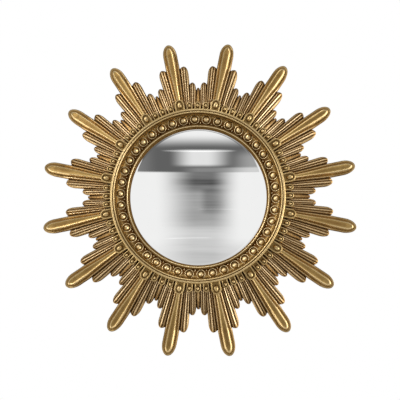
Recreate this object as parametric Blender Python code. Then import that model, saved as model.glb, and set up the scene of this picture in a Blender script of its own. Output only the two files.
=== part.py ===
"""Sunburst wall mirror: a cast gold frame with a convex round glass.

The mirror hangs in the XZ plane and faces -Y. Its flat back lies at Y = 0, and the origin is the
middle of that back. Radii run from the mirror's centre, depths run forward from the wall, and
angles are in degrees, clockwise as the viewer sees them. All three are in millimetres or degrees
here, and become metres where a point is placed.
"""

import math
from collections import namedtuple

import bmesh
import bpy
from mathutils import Matrix

MM = 0.001

# Driving sizes
REACH = 250.0
GROUPS = 16
BEADS = 42
BAND_DEPTH = 46.0
EDGE_DEPTH = 7.0
GAP = 0.3

HALF_GROUP = 180.0 / GROUPS
RING_STEPS = 2

# Ring moulding, from its outer wall inward: band, fillet, channel, lip, sight edge, back rebate
CUP_WALL_RADIUS = 0.5315 * REACH
WALL_DRAFT = 0.2
WALL_DROP = 4.5
BAND_SHOULDER_RADIUS = 0.528 * REACH
BAND_SHOULDER_DROP = 0.8
BAND_CREST_RADIUS = 0.5235 * REACH
FILLET_GROOVE_RADIUS = 0.5155 * REACH
FILLET_GROOVE_DROP = 2.6
FILLET_RADIUS = 0.5095 * REACH
FILLET_DROP = 1.2
CHANNEL_FOOT_RADIUS = 0.501 * REACH
CHANNEL_OUTER_DEPTH = 28.0
INNER_GROOVE_RADIUS = 0.4525 * REACH
CHANNEL_INNER_DEPTH = 24.0
LIP_CREST_RADIUS = 0.437 * REACH
LIP_DEPTH = 28.0
SIGHT_RADIUS = 0.4255 * REACH
SIGHT_EDGE = 1.0
SEAT_DEPTH = 20.3
REBATE_RADIUS = 0.4445 * REACH
BOARD_REBATE_RADIUS = 0.467 * REACH
BOARD_THICKNESS = 3.0

# Beads in the channel
BEAD_ROW_RADIUS = 0.478 * REACH
BEAD_PHASE = 6.3
BEAD_FOOT_RADIUS = 8.4
BEAD_DOME_RADIUS = 4.5
BEAD_ROOT = 2.0
BEAD_SHOULDER = 3.7
BEAD_RISE = 5.2
BEAD_SIDES = 8

# Cups around the ring: a horseshoe rim around a ball, open to the ring
CUP_RIM = 1.4
CUP_HOLLOW = 2.8
CUP_ROOT_RISE = 2.0
BIG_CUP_HALF_WIDTH = 7.5
BIG_CUP_TOP_RADIUS = 0.608 * REACH
BIG_RIM_DEPTH = 34.5
BIG_HOLLOW_DEPTH = 31.0
BIG_BALL_DEPTH = 36.0
SMALL_CUP_ANGLE = 6.05
SMALL_CUP_HALF_WIDTH = 4.8
SMALL_CUP_TOP_RADIUS = 0.586 * REACH
SMALL_RIM_DEPTH = 32.5
SMALL_HOLLOW_DEPTH = 29.0
SMALL_BALL_DEPTH = 34.0
GAP_DEPTH = 20.0
FIRST_GAP_ANGLE = 3.5
SECOND_GAP_ANGLE = 8.65

# Long ray: crown between two arrises, hollow toward the tip, a groove and a rim that die away
LONG_HALF_WIDTH = 0.0445 * REACH
LONG_CAP_RADIUS = 0.924 * REACH
LONG_RIM_END_RADIUS = 0.867 * REACH
CROWN_FOOT_ANGLE = 0.7
CROWN_FOOT_DEPTH = 29.0
CROWN_CAP_RADIUS = 0.917 * REACH
CROWN_CAP_HALF_WIDTH = 4.4
CROWN_CAP_DEPTH = 17.0
CROWN_END_RADIUS = 0.975 * REACH
CROWN_END_DEPTH = 15.0
CROWN_RISE = 0.6
CROWN_HOLLOW = 0.5
FLANK_FOOT_ANGLE = 1.45
FLANK_FOOT_DEPTH = 24.0
RIM_FOOT_ANGLE = 2.1
RIM_FOOT_DEPTH = 24.6
RAY_GAP_ANGLE = 2.95
RAY_GAP_RADIUS = 0.585 * REACH
RAY_GAP_DEPTH = 21.0
CAP_STEPS = 4

# Crests and grooves of the shorter rays, from the cups outward. Angles are from the long ray's axis.
Reed = namedtuple("Reed", "foot_angle foot_depth end_angle end_radius end_depth")
THIN_REED = Reed(3.5, 22.5, 3.85, 0.825 * REACH, 11.0)
THIN_GROOVE = Reed(4.0, 21.0, 4.3, 0.827 * REACH, 10.0)
BROAD_REED = Reed(4.7, 25.0, 4.95, 0.817 * REACH, 13.5)
FIRST_SHORT_REED = Reed(7.9, 22.0, 8.25, 0.721 * REACH, 12.5)
SHORT_GROOVE = Reed(SECOND_GAP_ANGLE, GAP_DEPTH, 8.8, 0.72 * REACH, 10.5)
SECOND_SHORT_REED = Reed(9.4, 22.0, 9.35, 0.705 * REACH, 12.0)
KEEL = Reed(HALF_GROUP, 23.0, HALF_GROUP, 0.676 * REACH, 14.0)

# Feet of the grooves between one ray and the next
MIDDLE_EDGE_FOOT_ANGLE = 6.5
MIDDLE_EDGE_FOOT_DEPTH = 18.0
SHORT_EDGE_FOOT_ANGLE = 10.1
SHORT_EDGE_FOOT_DEPTH = 17.0

# Places where the outlines of two rays meet, a little above the outer edge
JOIN_DEPTH = EDGE_DEPTH + 1.5
MIDDLE_JOIN_RADIUS = 0.832 * REACH
SHORT_JOIN_ANGLE = 6.8
SHORT_JOIN_RADIUS = 0.7255 * REACH
NARROW_JOIN_ANGLE = 10.3
NARROW_JOIN_RADIUS = 0.684 * REACH

# Arched ends of the middle and short rays, and the narrow ray's blunt point
Arch = namedtuple("Arch", "angle inner_half_angle outer_half_angle shoulder_radius tip_radius")
MIDDLE_ARCH = Arch(4.9, 2.8, 1.85, 0.789 * REACH, 0.845 * REACH)
SHORT_ARCH = Arch(8.3, 1.9, 1.65, 0.7 * REACH, 0.736 * REACH)
OUTER_ARCH_TURNS = (0.0, 30.0, 60.0, 90.0)
NARROW_END_RADIUS = 0.694 * REACH
NARROW_CORNER_ANGLE = 10.6
NARROW_CORNER_RADIUS = 0.69 * REACH

# Glass
GLASS_THICKNESS = 2.5
GLASS_RISE = 14.0
GLASS_SEGMENTS = 32

# Hanger plate in the back, at the top
PLATE_WIDTH = 46.0
PLATE_HEIGHT = 20.0
PLATE_THICKNESS = 1.5
PLATE_CENTRE = 0.53 * REACH
KEYHOLE_HEAD_RADIUS = 4.6
KEYHOLE_HEAD_STEPS = 12
KEYHOLE_SLOT_HALF = 2.1
KEYHOLE_SLOT_RISE = 5.0
POCKET_WIDTH = 22.0
POCKET_HEIGHT = 15.0
POCKET_DEPTH = 9.0
SCREW_OFFSET = 18.0
SCREW_HEAD_RADIUS = 2.9
SCREW_HEAD_EDGE = 0.3
SCREW_SHANK_RADIUS = 1.3
SCREW_LENGTH = 11.0
SCREW_SIDES = 8
CUT_REACH = 5.0


def clear_scene():
    """Remove every object, so the script starts from an empty scene."""
    for item in list(bpy.data.objects):
        bpy.data.objects.remove(item, do_unlink=True)


def finish_material(name, colour, roughness, metallic):
    """Return a Principled material of one colour."""
    material = bpy.data.materials.new(name)
    material.use_nodes = True
    shader = material.node_tree.nodes["Principled BSDF"]
    shader.inputs["Base Color"].default_value = (*colour, 1.0)
    shader.inputs["Roughness"].default_value = roughness
    shader.inputs["Metallic"].default_value = metallic
    return material


def place(angle, radius, depth):
    """Turn an angle from the top, a radius and a depth into a point in metres."""
    turn = math.radians(angle)
    return (radius * math.sin(turn) * MM, -depth * MM, radius * math.cos(turn) * MM)


def ease(start, end, share):
    """Blend two values."""
    return start + (end - start) * share


def row_shares(row):
    """Give each point of a row its share of the row's length, from 0 to 1."""
    lengths = [0.0]
    for first, second in zip(row, row[1:]):
        lengths.append(lengths[-1] + (second.co - first.co).length)
    return [length / lengths[-1] for length in lengths]


def strip(bm, near, far):
    """Fill the band between two rows of points with triangles, walking along both together."""
    near_shares = row_shares(near)
    far_shares = row_shares(far)
    i = 0
    j = 0
    while i < len(near) - 1 or j < len(far) - 1:
        step_near = j == len(far) - 1
        if i < len(near) - 1 and not step_near:
            step_near = near_shares[i + 1] <= far_shares[j + 1]
        if step_near:
            corners = (near[i], near[i + 1], far[j])
            i += 1
        else:
            corners = (near[i], far[j + 1], far[j])
            j += 1
        if len(set(corners)) == 3:
            bm.faces.new(corners)


def fan(bm, centre, row):
    """Join a centre point to every pair of neighbours in a row."""
    for first, second in zip(row, row[1:]):
        bm.faces.new((centre, first, second))


def from_mesh(name, bm, material):
    """Close a bmesh into an object whose faces point outwards."""
    bmesh.ops.recalc_face_normals(bm, faces=bm.faces[:])
    mesh = bpy.data.meshes.new(name)
    bm.to_mesh(mesh)
    bm.free()
    mesh.materials.append(material)
    item = bpy.data.objects.new(name, mesh)
    bpy.context.scene.collection.objects.link(item)
    return item


class HalfGroup:
    """Half of one ray group: from the long ray's axis to the axis of the narrow ray beside it."""

    def __init__(self, bm, turn, side):
        self.bm = bm
        self.turn = turn
        self.side = side

    def polar(self, angle, radius, depth):
        """A point by its angle from the long ray's axis."""
        return self.bm.verts.new(place(self.turn + self.side * angle, radius, depth))

    def beside(self, across, along, depth):
        """A point by its distance across and along the long ray's axis."""
        return self.polar(math.degrees(math.atan2(across, along)), math.hypot(across, along), depth)

    def reed_end(self, reed):
        """The outer end of a reed or groove."""
        return self.polar(reed.end_angle, reed.end_radius, reed.end_depth)

    def cup_foot(self, angle, depth, centre, half_width, top):
        """The point where a cup's outer arch crosses an angle."""
        middle = top - half_width
        across = middle * math.radians(angle - centre)
        rise = math.sqrt(max(half_width * half_width - across * across, 0.0))
        return self.polar(angle, middle + rise, depth)

    def ring_row(self, radius, depth, steps):
        """The points of one circle of the ring that fall in this half group."""
        return [self.polar(HALF_GROUP * step / steps, radius, depth) for step in range(steps + 1)]

    def cup_row(self, centre, half_width, top, turns, depth):
        """Part of a horseshoe: its arch by turns from the top, and straight legs to the ring's wall.

        A turn of 90 stands for the end of the right leg and -90 for the end of the left one.
        """
        middle = top - half_width
        points = []
        for turn in turns:
            if abs(turn) == 90.0:
                across = math.copysign(math.degrees(half_width / CUP_WALL_RADIUS), turn)
                points.append(self.polar(centre + across, CUP_WALL_RADIUS, depth + CUP_ROOT_RISE))
                continue
            bend = math.radians(turn)
            radius = middle + half_width * math.cos(bend)
            across = math.degrees(half_width * math.sin(bend) / radius)
            points.append(self.polar(centre + across, radius, depth))
        return points

    def arch_row(self, arch, half_angle, turns):
        """Points of an arched ray end. A turn runs from 0 degrees at the tip to 90 at the shoulder."""
        points = []
        for turn in turns:
            bend = math.radians(abs(turn))
            across = math.copysign(half_angle * math.sin(bend), turn)
            radius = ease(arch.shoulder_radius, arch.tip_radius, math.cos(bend))
            points.append(self.polar(arch.angle + across, radius, EDGE_DEPTH))
        return points


def long_ray(part, feet, gap):
    """Crown, flank and rim of the long ray's half. Returns its outline, from the tip down."""
    bm = part.bm
    axis_foot, arris_foot, flank_foot, rim_foot = feet
    axis_end = part.beside(0.0, CROWN_CAP_RADIUS, CROWN_CAP_DEPTH - CROWN_HOLLOW)
    crown = []
    outline = []
    for step in range(CAP_STEPS + 1):
        bend = 0.5 * math.pi * step / CAP_STEPS
        rise = math.sin(bend)
        spread = math.cos(bend)
        crown.append(part.beside(CROWN_CAP_HALF_WIDTH * spread,
                                 ease(CROWN_CAP_RADIUS, CROWN_END_RADIUS, rise),
                                 ease(CROWN_CAP_DEPTH, CROWN_END_DEPTH, rise)))
        outline.append(part.beside(LONG_HALF_WIDTH * spread, ease(LONG_CAP_RADIUS, REACH, rise), EDGE_DEPTH))
    rim_end = part.beside(LONG_HALF_WIDTH, LONG_RIM_END_RADIUS, EDGE_DEPTH)
    join = part.beside(LONG_HALF_WIDTH, MIDDLE_JOIN_RADIUS, JOIN_DEPTH)
    bm.faces.new((axis_foot, arris_foot, crown[0], axis_end))
    fan(bm, axis_end, crown)
    bm.faces.new((arris_foot, flank_foot, rim_end))
    bm.faces.new((arris_foot, rim_end, crown[0]))
    bm.faces.new((crown[0], rim_end, outline[0]))
    strip(bm, crown, outline)
    bm.faces.new((flank_foot, rim_foot, rim_end))
    bm.faces.new((rim_foot, gap, join))
    bm.faces.new((rim_foot, join, rim_end))
    return outline[::-1] + [rim_end, join]


def middle_ray(part, join, gap, feet, edge_foot):
    """Two reeds of the middle ray. Returns its outline, from the long ray down to the short ray."""
    bm = part.bm
    thin_foot, groove_foot, broad_foot = feet
    thin_end = part.reed_end(THIN_REED)
    groove_end = part.reed_end(THIN_GROOVE)
    broad_end = part.reed_end(BROAD_REED)
    arch = part.arch_row(MIDDLE_ARCH, MIDDLE_ARCH.inner_half_angle, (-24.0, -12.0))
    arch += part.arch_row(MIDDLE_ARCH, MIDDLE_ARCH.outer_half_angle, OUTER_ARCH_TURNS)
    lower_join = part.polar(SHORT_JOIN_ANGLE, SHORT_JOIN_RADIUS, JOIN_DEPTH)
    bm.faces.new((gap, thin_foot, thin_end, join))
    bm.faces.new((thin_foot, groove_foot, groove_end, thin_end))
    bm.faces.new((groove_foot, broad_foot, broad_end, groove_end))
    bm.faces.new((broad_foot, edge_foot, lower_join))
    bm.faces.new((broad_foot, lower_join, arch[-1]))
    bm.faces.new((broad_foot, arch[-1], broad_end))
    strip(bm, [join, thin_end, groove_end, broad_end], [join] + arch)
    return arch + [lower_join]


def short_ray(part, join, edge_foot, first_foot, gap, second_foot, inner_foot):
    """Two reeds of the short ray. Returns its outline, from the middle ray down to the narrow ray."""
    bm = part.bm
    first_end = part.reed_end(FIRST_SHORT_REED)
    groove_end = part.reed_end(SHORT_GROOVE)
    second_end = part.reed_end(SECOND_SHORT_REED)
    arch = part.arch_row(SHORT_ARCH, SHORT_ARCH.inner_half_angle, (-25.0,))
    arch += part.arch_row(SHORT_ARCH, SHORT_ARCH.outer_half_angle, OUTER_ARCH_TURNS)
    lower_join = part.polar(NARROW_JOIN_ANGLE, NARROW_JOIN_RADIUS, JOIN_DEPTH)
    bm.faces.new((edge_foot, first_foot, first_end, join))
    bm.faces.new((first_foot, gap, groove_end, first_end))
    bm.faces.new((gap, second_foot, second_end, groove_end))
    bm.faces.new((second_foot, inner_foot, lower_join))
    bm.faces.new((second_foot, lower_join, arch[-1]))
    bm.faces.new((second_foot, arch[-1], second_end))
    strip(bm, [join, first_end, groove_end, second_end], [join] + arch)
    return arch + [lower_join]


def narrow_ray(part, join, inner_foot, keel_foot):
    """Half of the narrow ray, a thin bar with a keel. Returns the rest of the outline."""
    bm = part.bm
    keel_end = part.reed_end(KEEL)
    corner = part.polar(NARROW_CORNER_ANGLE, NARROW_CORNER_RADIUS, EDGE_DEPTH)
    end = part.polar(HALF_GROUP, NARROW_END_RADIUS, EDGE_DEPTH)
    bm.faces.new((inner_foot, keel_foot, keel_end, join))
    fan(bm, keel_end, [join, corner, end])
    return [corner, end]


def fill_cup(bm, ball, foot, rim, hollow, around_ball):
    """Skin of one cup between its rows, closed by the ball."""
    strip(bm, foot, rim)
    strip(bm, rim, hollow)
    fan(bm, ball, around_ball)


def big_cup(part, feet, gap):
    """Half of the big cup on the long ray's axis. Returns its points on the ring's wall."""
    axis_wall = part.polar(0.0, CUP_WALL_RADIUS, BIG_HOLLOW_DEPTH + CUP_ROOT_RISE)
    rim = part.cup_row(0.0, BIG_CUP_HALF_WIDTH - CUP_RIM, BIG_CUP_TOP_RADIUS - CUP_RIM,
                       (0.0, 45.0, 80.0, 90.0), BIG_RIM_DEPTH)
    hollow = part.cup_row(0.0, BIG_CUP_HALF_WIDTH - CUP_HOLLOW, BIG_CUP_TOP_RADIUS - CUP_HOLLOW,
                          (0.0, 60.0, 90.0), BIG_HOLLOW_DEPTH)
    ball = part.polar(0.0, BIG_CUP_TOP_RADIUS - BIG_CUP_HALF_WIDTH, BIG_BALL_DEPTH)
    fill_cup(part.bm, ball, feet + [gap], rim, hollow, hollow + [axis_wall])
    return [axis_wall, hollow[-1], rim[-1], gap]


def small_cup(part, centre, rim_turns, hollow_turns):
    """Rows of a small cup, or of its first half: rim, hollow and ball."""
    rim = part.cup_row(centre, SMALL_CUP_HALF_WIDTH - CUP_RIM, SMALL_CUP_TOP_RADIUS - CUP_RIM,
                       rim_turns, SMALL_RIM_DEPTH)
    hollow = part.cup_row(centre, SMALL_CUP_HALF_WIDTH - CUP_HOLLOW, SMALL_CUP_TOP_RADIUS - CUP_HOLLOW,
                          hollow_turns, SMALL_HOLLOW_DEPTH)
    ball = part.polar(centre, SMALL_CUP_TOP_RADIUS - SMALL_CUP_HALF_WIDTH, SMALL_BALL_DEPTH)
    return rim, hollow, ball


def small_cups(part, middle_feet, last_feet, first_gap, second_gap):
    """The small cup between the big one and the narrow ray's, and half of the narrow ray's own."""
    bm = part.bm
    rim, hollow, ball = small_cup(part, SMALL_CUP_ANGLE, (-90.0, -60.0, 0.0, 60.0, 90.0),
                                  (-90.0, -45.0, 45.0, 90.0))
    fill_cup(bm, ball, [first_gap] + middle_feet + [second_gap], rim, hollow, hollow + [hollow[0]])
    wall_row = [rim[0], hollow[0], hollow[-1], rim[-1], second_gap]

    narrow_wall = part.polar(HALF_GROUP, CUP_WALL_RADIUS, SMALL_HOLLOW_DEPTH + CUP_ROOT_RISE)
    rim, hollow, ball = small_cup(part, HALF_GROUP, (-90.0, -60.0, 0.0), (-90.0, -45.0, 0.0))
    fill_cup(bm, ball, [second_gap] + last_feet, rim, hollow, [narrow_wall] + hollow)
    return wall_row + [rim[0], hollow[0], narrow_wall]


def build_half_group(bm, turn, side):
    """Rays, cups, ring and back of one half group, open only at its two end planes."""
    part = HalfGroup(bm, turn, side)

    # Foot of every reed, where it meets a cup
    first_gap = part.polar(FIRST_GAP_ANGLE, CUP_WALL_RADIUS, GAP_DEPTH)
    second_gap = part.polar(SECOND_GAP_ANGLE, CUP_WALL_RADIUS, GAP_DEPTH)
    big = (0.0, BIG_CUP_HALF_WIDTH, BIG_CUP_TOP_RADIUS)
    small = (SMALL_CUP_HALF_WIDTH, SMALL_CUP_TOP_RADIUS)
    long_feet = [
        part.cup_foot(0.0, CROWN_FOOT_DEPTH + CROWN_RISE, *big),
        part.cup_foot(CROWN_FOOT_ANGLE, CROWN_FOOT_DEPTH, *big),
        part.cup_foot(FLANK_FOOT_ANGLE, FLANK_FOOT_DEPTH, *big),
        part.cup_foot(RIM_FOOT_ANGLE, RIM_FOOT_DEPTH, *big),
    ]
    middle_feet = [part.cup_foot(reed.foot_angle, reed.foot_depth, SMALL_CUP_ANGLE, *small)
                   for reed in (THIN_REED, THIN_GROOVE, BROAD_REED)]
    middle_edge = part.cup_foot(MIDDLE_EDGE_FOOT_ANGLE, MIDDLE_EDGE_FOOT_DEPTH, SMALL_CUP_ANGLE, *small)
    first_short = part.cup_foot(FIRST_SHORT_REED.foot_angle, FIRST_SHORT_REED.foot_depth,
                                SMALL_CUP_ANGLE, *small)
    second_short = part.cup_foot(SECOND_SHORT_REED.foot_angle, SECOND_SHORT_REED.foot_depth,
                                 HALF_GROUP, *small)
    short_edge = part.cup_foot(SHORT_EDGE_FOOT_ANGLE, SHORT_EDGE_FOOT_DEPTH, HALF_GROUP, *small)
    keel_foot = part.cup_foot(KEEL.foot_angle, KEEL.foot_depth, HALF_GROUP, *small)

    # Rays and their outline
    ray_gap = part.polar(RAY_GAP_ANGLE, RAY_GAP_RADIUS, RAY_GAP_DEPTH)
    outline = long_ray(part, long_feet, ray_gap)
    outline += middle_ray(part, outline[-1], ray_gap, middle_feet, middle_edge)
    outline += short_ray(part, outline[-1], middle_edge, first_short, second_gap, second_short, short_edge)
    outline += narrow_ray(part, outline[-1], short_edge, keel_foot)

    # Cups and ring moulding
    wall_row = big_cup(part, long_feet + [ray_gap], first_gap)
    wall_row += small_cups(part, [ray_gap] + middle_feet + [middle_edge, first_short],
                           [second_short, short_edge, keel_foot], first_gap, second_gap)
    rows = [part.ring_row(radius, depth, RING_STEPS) for radius, depth in FRONT_PROFILE]
    rows += [part.ring_row(radius, depth, 1) for radius, depth in BACK_PROFILE]
    strip(bm, wall_row, rows[0])
    for outer, inner in zip(rows, rows[1:]):
        strip(bm, outer, inner)

    # Side wall and flat back
    back = [bm.verts.new((point.co.x, 0.0, point.co.z)) for point in outline]
    for first, second, back_second, back_first in zip(outline, outline[1:], back[1:], back):
        bm.faces.new((first, second, back_second, back_first))
    bm.faces.new(back + rows[-1][::-1])


FRONT_PROFILE = (
    (CUP_WALL_RADIUS - WALL_DRAFT, BAND_DEPTH - WALL_DROP),
    (BAND_SHOULDER_RADIUS, BAND_DEPTH - BAND_SHOULDER_DROP),
    (BAND_CREST_RADIUS, BAND_DEPTH),
    (FILLET_GROOVE_RADIUS, BAND_DEPTH - FILLET_GROOVE_DROP),
    (FILLET_RADIUS, BAND_DEPTH - FILLET_DROP),
    (CHANNEL_FOOT_RADIUS, CHANNEL_OUTER_DEPTH),
    (INNER_GROOVE_RADIUS, CHANNEL_INNER_DEPTH),
    (LIP_CREST_RADIUS, LIP_DEPTH),
    (SIGHT_RADIUS, SEAT_DEPTH + SIGHT_EDGE),
    (SIGHT_RADIUS, SEAT_DEPTH),
)
BACK_PROFILE = (
    (REBATE_RADIUS, SEAT_DEPTH),
    (REBATE_RADIUS, BOARD_THICKNESS + GAP),
    (BOARD_REBATE_RADIUS, BOARD_THICKNESS + GAP),
    (BOARD_REBATE_RADIUS, 0.0),
)


def add_turned(bm, profile, segments, axis_angle=0.0, axis_radius=0.0):
    """Turn a profile of (radius, depth) points about an axis parallel to Y. A radius of 0 is a pole."""
    centre = place(axis_angle, axis_radius, 0.0)
    rows = []
    for radius, depth in profile:
        if radius == 0.0:
            rows.append([bm.verts.new((centre[0], -depth * MM, centre[2]))])
            continue
        row = []
        for step in range(segments):
            turn = 2.0 * math.pi * step / segments
            row.append(bm.verts.new((centre[0] + radius * math.sin(turn) * MM, -depth * MM,
                                     centre[2] + radius * math.cos(turn) * MM)))
        rows.append(row)
    for first, second in zip(rows, rows[1:]):
        for step in range(segments):
            after = (step + 1) % segments
            corners = [first[step % len(first)], first[after % len(first)],
                       second[after % len(second)], second[step % len(second)]]
            bm.faces.new(list(dict.fromkeys(corners)))


def add_box(bm, low, high):
    """A box by two opposite corners of (X, depth, Z)."""
    size = [(b - a) * MM for a, b in zip(low, high)]
    middle = [(a + b) * 0.5 * MM for a, b in zip(low, high)]
    turn = Matrix.Translation((middle[0], -middle[1], middle[2])) @ Matrix.Diagonal((*size, 1.0))
    bmesh.ops.create_cube(bm, size=1.0, matrix=turn)


def combine(target, tool, operation):
    """Join or cut one object with another by an exact Boolean, and hide the tool."""
    boolean = target.modifiers.new(tool.name, 'BOOLEAN')
    boolean.operation = operation
    boolean.solver = 'EXACT'
    boolean.object = tool
    tool.hide_render = True
    tool.display_type = 'WIRE'


def build_beads(material):
    """The beads of the channel: low domes that stand in its sloping floor."""
    bm = bmesh.new()
    floor = ease(CHANNEL_INNER_DEPTH, CHANNEL_OUTER_DEPTH, 0.5)
    profile = (
        (0.0, floor - BEAD_ROOT),
        (BEAD_FOOT_RADIUS, floor - BEAD_ROOT),
        (BEAD_DOME_RADIUS, floor + BEAD_SHOULDER),
        (0.0, floor + BEAD_RISE),
    )
    for bead in range(BEADS):
        add_turned(bm, profile, BEAD_SIDES, BEAD_PHASE + 360.0 * bead / BEADS, BEAD_ROW_RADIUS)
    return from_mesh("beads", bm, material)


def add_screw_shape(bm, side, grow):
    """A countersunk screw, or with grow the hole that it sits in."""
    back = -CUT_REACH if grow else GAP
    shoulder = GAP + SCREW_HEAD_EDGE
    profile = (
        (0.0, back),
        (SCREW_HEAD_RADIUS + grow, back),
        (SCREW_HEAD_RADIUS + grow, shoulder),
        (SCREW_SHANK_RADIUS + grow, shoulder + SCREW_HEAD_RADIUS - SCREW_SHANK_RADIUS),
        (SCREW_SHANK_RADIUS + grow, SCREW_LENGTH + grow),
        (0.0, SCREW_LENGTH + grow),
    )
    offset = math.hypot(SCREW_OFFSET, PLATE_CENTRE)
    angle = side * math.degrees(math.atan2(SCREW_OFFSET, PLATE_CENTRE))
    add_turned(bm, profile, SCREW_SIDES, angle, offset)


def build_frame(material):
    """The whole casting: sixteen groups in one skin, then the beads, the plate's bed and the screw holes."""
    bm = bmesh.new()
    for group in range(GROUPS):
        turn = HALF_GROUP * (1 + 2 * group)
        build_half_group(bm, turn, 1)
        build_half_group(bm, turn, -1)
    bmesh.ops.remove_doubles(bm, verts=bm.verts[:], dist=0.00001)
    frame = from_mesh("frame", bm, material)
    combine(frame, build_beads(material), 'UNION')

    bm = bmesh.new()
    half_width = 0.5 * PLATE_WIDTH + GAP
    half_height = 0.5 * PLATE_HEIGHT + GAP
    add_box(bm, (-half_width, -CUT_REACH, PLATE_CENTRE - half_height),
            (half_width, PLATE_THICKNESS + GAP, PLATE_CENTRE + half_height))
    combine(frame, from_mesh("plate_bed", bm, material), 'DIFFERENCE')

    bm = bmesh.new()
    add_box(bm, (-0.5 * POCKET_WIDTH, -CUT_REACH, PLATE_CENTRE - 0.5 * POCKET_HEIGHT),
            (0.5 * POCKET_WIDTH, POCKET_DEPTH, PLATE_CENTRE + 0.5 * POCKET_HEIGHT))
    for side in (-1, 1):
        add_screw_shape(bm, side, GAP)
    combine(frame, from_mesh("keyhole_pocket", bm, material), 'DIFFERENCE')
    frame.data.set_sharp_from_angle(angle=math.radians(25))


def build_glass(material):
    """Convex glass of even thickness: two concentric spherical caps joined by the ground edge."""
    radius = REBATE_RADIUS * math.cos(math.radians(0.5 * HALF_GROUP)) - GAP
    sphere = (radius * radius + GLASS_RISE * GLASS_RISE) / (2.0 * GLASS_RISE)

    def drop(at):
        return sphere - math.sqrt(sphere * sphere - at * at)

    apex = SEAT_DEPTH - GAP + drop(SIGHT_RADIUS)
    stops = (0.0, 0.55 * radius, radius)
    front = [(at, apex - drop(at)) for at in stops]
    back = [(at, apex - GLASS_THICKNESS - drop(at)) for at in stops[::-1]]
    bm = bmesh.new()
    add_turned(bm, front + back, GLASS_SEGMENTS)
    glass = from_mesh("mirror_glass", bm, material)
    glass.data.shade_smooth()
    glass.data.set_sharp_from_angle(angle=math.radians(40))


def build_board(material):
    """Round backing board in its rebate, its outer face in the plane of the back."""
    radius = BOARD_REBATE_RADIUS - GAP
    bm = bmesh.new()
    add_turned(bm, ((0.0, 0.0), (radius, 0.0), (radius, BOARD_THICKNESS), (0.0, BOARD_THICKNESS)),
               2 * GROUPS)
    from_mesh("backing_board", bm, material)


def keyhole_outline():
    """Outline of the keyhole in the plate's plane: a round head below, a narrow slot above."""
    low = -0.5 * KEYHOLE_SLOT_RISE
    start = math.asin(KEYHOLE_SLOT_HALF / KEYHOLE_HEAD_RADIUS)
    points = []
    for step in range(KEYHOLE_HEAD_STEPS + 1):
        turn = start + 2.0 * (math.pi - start) * step / KEYHOLE_HEAD_STEPS
        points.append((KEYHOLE_HEAD_RADIUS * math.sin(turn), low + KEYHOLE_HEAD_RADIUS * math.cos(turn)))
    top = low + KEYHOLE_HEAD_RADIUS * math.cos(start) + KEYHOLE_SLOT_RISE
    for turn in (-45.0, 0.0, 45.0):
        bend = math.radians(turn)
        points.append((KEYHOLE_SLOT_HALF * math.sin(bend), top + KEYHOLE_SLOT_HALF * math.cos(bend)))
    return points


def build_plate(material):
    """Keyhole hanger plate with a slot for the wall screw and two countersunk holes."""
    bm = bmesh.new()
    half_width = 0.5 * PLATE_WIDTH
    half_height = 0.5 * PLATE_HEIGHT
    add_box(bm, (-half_width, GAP, PLATE_CENTRE - half_height),
            (half_width, PLATE_THICKNESS, PLATE_CENTRE + half_height))
    plate = from_mesh("hanger_plate", bm, material)

    bm = bmesh.new()
    outline = keyhole_outline()
    rows = []
    for depth in (-CUT_REACH, CUT_REACH):
        rows.append([bm.verts.new((x * MM, -depth * MM, (PLATE_CENTRE + z) * MM)) for x, z in outline])
    for first, second, back_second, back_first in zip(rows[0], rows[0][1:] + rows[0][:1],
                                                      rows[1][1:] + rows[1][:1], rows[1]):
        bm.faces.new((first, second, back_second, back_first))
    for row in rows:
        bm.faces.new(row)
    for side in (-1, 1):
        add_screw_shape(bm, side, GAP)
    combine(plate, from_mesh("keyhole", bm, material), 'DIFFERENCE')


def build_screws(material):
    """The two screws that hold the plate."""
    for name, side in (("hanger_screw_left", -1), ("hanger_screw_right", 1)):
        bm = bmesh.new()
        add_screw_shape(bm, side, 0.0)
        from_mesh(name, bm, material)


def main():
    """Build every piece of the mirror."""
    clear_scene()
    gold = finish_material("antique_gold", (0.36, 0.22, 0.07), 0.38, 0.9)
    silvered = finish_material("silvered_glass", (0.85, 0.87, 0.88), 0.03, 1.0)
    fibreboard = finish_material("fibreboard", (0.16, 0.10, 0.06), 0.8, 0.0)
    steel = finish_material("zinc_steel", (0.55, 0.55, 0.53), 0.4, 1.0)
    build_frame(gold)
    build_glass(silvered)
    build_board(fibreboard)
    build_plate(steel)
    build_screws(steel)


main()
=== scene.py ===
"""Looks of the sunburst wall mirror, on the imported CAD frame.

The mirror hangs in the XZ plane and faces -Y, with its flat back at Y = 0. In the functions below
radii and depths are in millimetres, depths run forward from the wall, and angles are in degrees,
clockwise from the top as the viewer sees them. One ray group is described by its half, from the
long ray's axis at 0 degrees to the narrow ray's axis at 11.25, and that half and its mirror image
are set round 16 times.
"""

import math
from collections import namedtuple

import bmesh
import bpy
import numpy as np
from bpy.props import FloatProperty, FloatVectorProperty, IntProperty, PointerProperty
from bpy.types import Operator, Panel, PropertyGroup
from mathutils import Matrix, Vector


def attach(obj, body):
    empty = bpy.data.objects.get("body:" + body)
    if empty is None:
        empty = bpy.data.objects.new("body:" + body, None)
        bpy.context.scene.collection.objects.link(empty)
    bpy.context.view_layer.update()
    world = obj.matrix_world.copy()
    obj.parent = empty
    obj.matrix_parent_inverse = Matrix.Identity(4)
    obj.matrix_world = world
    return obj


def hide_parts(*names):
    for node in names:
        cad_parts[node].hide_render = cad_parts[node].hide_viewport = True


bl_info = {
    "name": "Sunburst wall mirror",
    "version": (1, 0, 0),
    "blender": (4, 5, 0),
    "location": "3D View > Sidebar > Mirror",
    "description": "Gilded casting, convex glass and back of a sunburst wall mirror",
    "category": "Object",
}

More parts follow.
